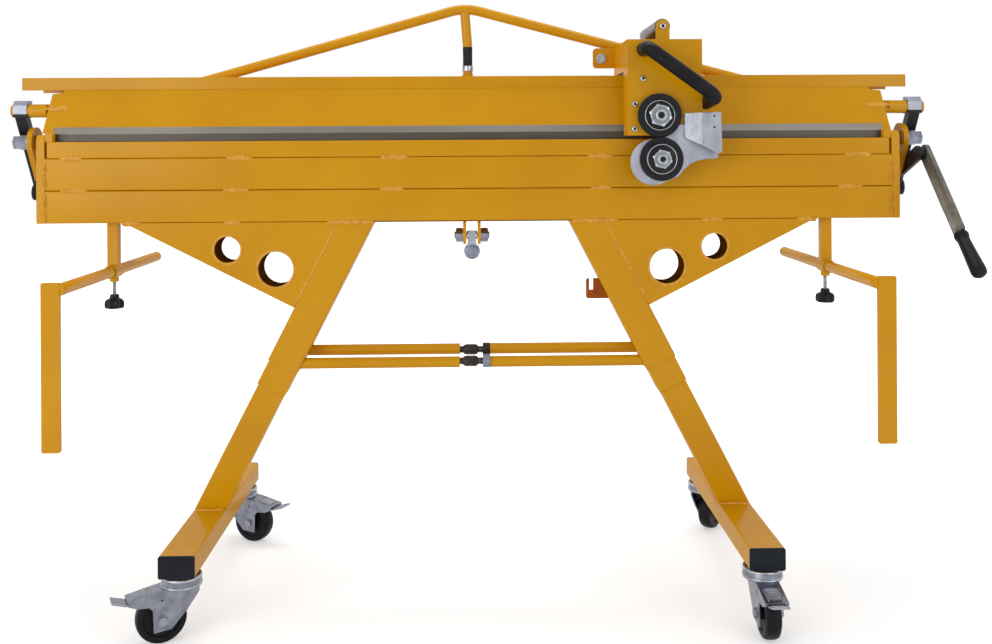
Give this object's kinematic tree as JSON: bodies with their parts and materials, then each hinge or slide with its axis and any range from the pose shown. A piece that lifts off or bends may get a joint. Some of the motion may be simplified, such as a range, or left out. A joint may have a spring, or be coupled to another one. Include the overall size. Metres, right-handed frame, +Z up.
{
  "type": "roofing sheet bender",
  "caption": "Wheeled sheet metal bending bench with clamp beam, lever, sliding disc cutter and back gauges.",
  "frame": {"origin": "on the floor under the middle of the machine", "axes": "+X along the bed to the lever's end, +Y away from the viewer, +Z up"},
  "size_m": [2.3, 0.8938, 1.4615],
  "materials": {
    "yellow_enamel": "gloss yellow-orange enamel",
    "black_paint": "satin black paint",
    "grey_paint": "grey paint on the lever",
    "zinc": "bright zinc plating",
    "bare_steel": "ground steel",
    "black_plastic": "black moulded plastic",
    "black_rubber": "black rubber",
    "brown_paint": "orange-brown paint"
  },
  "bodies": {
    "frame": {"bed_top_bar": "yellow_enamel", "bed_upper_tube": "yellow_enamel", "bed_lower_tube": "yellow_enamel", "end_plates": "yellow_enamel", "gussets": "yellow_enamel", "leg_sockets": "yellow_enamel", "leg_sleeves": "yellow_enamel", "leg_tubes": "yellow_enamel", "foot_bars": "yellow_enamel", "foot_end_caps": "black_plastic", "tie_rods": "yellow_enamel", "tie_rod_screws": "black_paint", "pivot_studs": "zinc", "shaft_hangers": "yellow_enamel", "gauge_posts": "yellow_enamel", "centre_clevis": "yellow_enamel", "leg_hook": "brown_paint", "caster_plates": "zinc"},
    "shaft": {"clamp_shaft": "bare_steel", "crank_left": "black_paint", "lever_root": "black_paint", "lever_arm": "grey_paint", "lever_grip": "black_rubber"},
    "clamp": {"clamp_blade": "bare_steel", "clamp_web": "yellow_enamel", "top_rail": "yellow_enamel", "clamp_stubs": "yellow_enamel", "truss_tube": "yellow_enamel", "truss_adjuster": "black_paint"},
    "link_left": {"clamp_link_left": "black_paint"},
    "link_right": {"clamp_link_right": "black_paint"},
    "leaf": {"leaf_bar": "yellow_enamel", "leaf_beam": "yellow_enamel", "leaf_lugs": "yellow_enamel", "leaf_handles": "black_paint"},
    "cutter": {"cutter_housing": "yellow_enamel", "cutter_roller": "bare_steel", "cutter_handle": "black_rubber", "cutter_guard": "zinc", "cutter_deflector": "zinc"},
    "upper_disc": {"upper_cutter_disc": "bare_steel"},
    "lower_disc": {"lower_cutter_disc": "bare_steel"},
    "gauge_left": {"gauge_arm_left": "yellow_enamel"},
    "gauge_right": {"gauge_arm_right": "yellow_enamel"},
    "knob_left": {"gauge_knob_left": "black_plastic"},
    "knob_right": {"gauge_knob_right": "black_plastic"},
    "eye": {"hanging_eye": "zinc"},
    "fork_fl": {"caster_fork_fl": "zinc"},
    "wheel_fl": {"caster_wheel_fl": "black_rubber"},
    "pedal_fl": {"caster_pedal_fl": "zinc"},
    "fork_fr": {"caster_fork_fr": "zinc"},
    "wheel_fr": {"caster_wheel_fr": "black_rubber"},
    "pedal_fr": {"caster_pedal_fr": "zinc"},
    "fork_bl": {"caster_fork_bl": "zinc"},
    "wheel_bl": {"caster_wheel_bl": "black_rubber"},
    "pedal_bl": {"caster_pedal_bl": "zinc"},
    "fork_br": {"caster_fork_br": "zinc"},
    "wheel_br": {"caster_wheel_br": "black_rubber"},
    "pedal_br": {"caster_pedal_br": "zinc"}
  },
  "joints": [
    {"name": "lever_turn", "type": "hinge", "parent": "frame", "child": "shaft", "pos_m": [0, 0.14411, 0.992], "axis": [-1, 0, 0], "range_deg": [-90, 0]},
    {"name": "clamp_lift", "type": "slide", "parent": "frame", "child": "clamp", "axis": [0, 0, 1], "range_m": [0, 0.0285]},
    {"name": "link_swing_left", "type": "hinge", "parent": "clamp", "child": "link_left", "pos_m": [-1.1163, 0.02511, 1.181], "axis": [1, 0, 0], "range_deg": [0, 2.2]},
    {"name": "link_swing_right", "type": "hinge", "parent": "clamp", "child": "link_right", "pos_m": [1.1163, 0.02511, 1.181], "axis": [1, 0, 0], "range_deg": [0, 2.2]},
    {"name": "leaf_swing", "type": "hinge", "parent": "frame", "child": "leaf", "pos_m": [0, 0.03812, 1.102], "axis": [1, 0, 0], "range_deg": [0, 120]},
    {"name": "cutter_slide", "type": "slide", "parent": "clamp", "child": "cutter", "axis": [1, 0, 0], "range_m": [-1.405, 0.466]},
    {"name": "upper_disc_spin", "type": "hinge", "parent": "cutter", "child": "upper_disc", "pos_m": [0.454, -0.11389, 1.158], "axis": [0, 1, 0], "continuous": true},
    {"name": "lower_disc_spin", "type": "hinge", "parent": "cutter", "child": "lower_disc", "pos_m": [0.459, -0.11389, 1.0525], "axis": [0, 1, 0], "continuous": true},
    {"name": "eye_swing", "type": "hinge", "parent": "frame", "child": "eye", "pos_m": [0, -0.00188, 0.864], "axis": [1, 0, 0], "range_deg": [-60, 60]},
    {"name": "gauge_slide_left", "type": "slide", "parent": "frame", "child": "gauge_left", "axis": [0, 1, 0], "range_m": [-0.25, 0.25]},
    {"name": "knob_turn_left", "type": "hinge", "parent": "frame", "child": "knob_left", "pos_m": [-0.888, -0.00938, 0.716], "axis": [0, 0, 1], "continuous": true},
    {"name": "gauge_slide_right", "type": "slide", "parent": "frame", "child": "gauge_right", "axis": [0, 1, 0], "range_m": [-0.25, 0.25]},
    {"name": "knob_turn_right", "type": "hinge", "parent": "frame", "child": "knob_right", "pos_m": [0.888, -0.00938, 0.716], "axis": [0, 0, 1], "continuous": true},
    {"name": "swivel_fl", "type": "hinge", "parent": "frame", "child": "fork_fl", "pos_m": [-0.648, -0.29689, 0.124], "axis": [0, 0, 1], "continuous": true},
    {"name": "roll_fl", "type": "hinge", "parent": "fork_fl", "child": "wheel_fl", "pos_m": [-0.68878, -0.3159, 0.055], "axis": [0.4226, -0.9063, 0], "continuous": true},
    {"name": "brake_fl", "type": "hinge", "parent": "fork_fl", "child": "pedal_fl", "pos_m": [-0.73501, -0.33746, 0.096], "axis": [0.4226, -0.9063, 0], "range_deg": [0, 12]},
    {"name": "swivel_fr", "type": "hinge", "parent": "frame", "child": "fork_fr", "pos_m": [0.648, -0.29689, 0.124], "axis": [0, 0, 1], "continuous": true},
    {"name": "roll_fr", "type": "hinge", "parent": "fork_fr", "child": "wheel_fr", "pos_m": [0.648, -0.34188, 0.055], "axis": [1, 0, 0], "continuous": true},
    {"name": "brake_fr", "type": "hinge", "parent": "fork_fr", "child": "pedal_fr", "pos_m": [0.648, -0.39288, 0.096], "axis": [1, 0, 0], "range_deg": [0, 12]},
    {"name": "swivel_bl", "type": "hinge", "parent": "frame", "child": "fork_bl", "pos_m": [-0.648, 0.31311, 0.124], "axis": [0, 0, 1], "continuous": true},
    {"name": "roll_bl", "type": "hinge", "parent": "fork_bl", "child": "wheel_bl", "pos_m": [-0.60722, 0.2941, 0.055], "axis": [0.4226, 0.9063, 0], "continuous": true},
    {"name": "brake_bl", "type": "hinge", "parent": "fork_bl", "child": "pedal_bl", "pos_m": [-0.56099, 0.27254, 0.096], "axis": [0.4226, 0.9063, 0], "range_deg": [0, 12]},
    {"name": "swivel_br", "type": "hinge", "parent": "frame", "child": "fork_br", "pos_m": [0.648, 0.31311, 0.124], "axis": [0, 0, 1], "continuous": true},
    {"name": "roll_br", "type": "hinge", "parent": "fork_br", "child": "wheel_br", "pos_m": [0.67381, 0.34998, 0.055], "axis": [-0.8192, 0.5736, 0], "continuous": true},
    {"name": "brake_br", "type": "hinge", "parent": "fork_br", "child": "pedal_br", "pos_m": [0.70306, 0.39175, 0.096], "axis": [-0.8192, 0.5736, 0], "range_deg": [0, 12]}
  ],
  "couplings": [
    {"joint": "clamp_lift", "follows": "lever_turn", "m_per_rad": -0.01795},
    {"joint": "link_swing_left", "follows": "lever_turn", "ratio": -0.023},
    {"joint": "link_swing_right", "follows": "lever_turn", "ratio": -0.023}
  ]
}
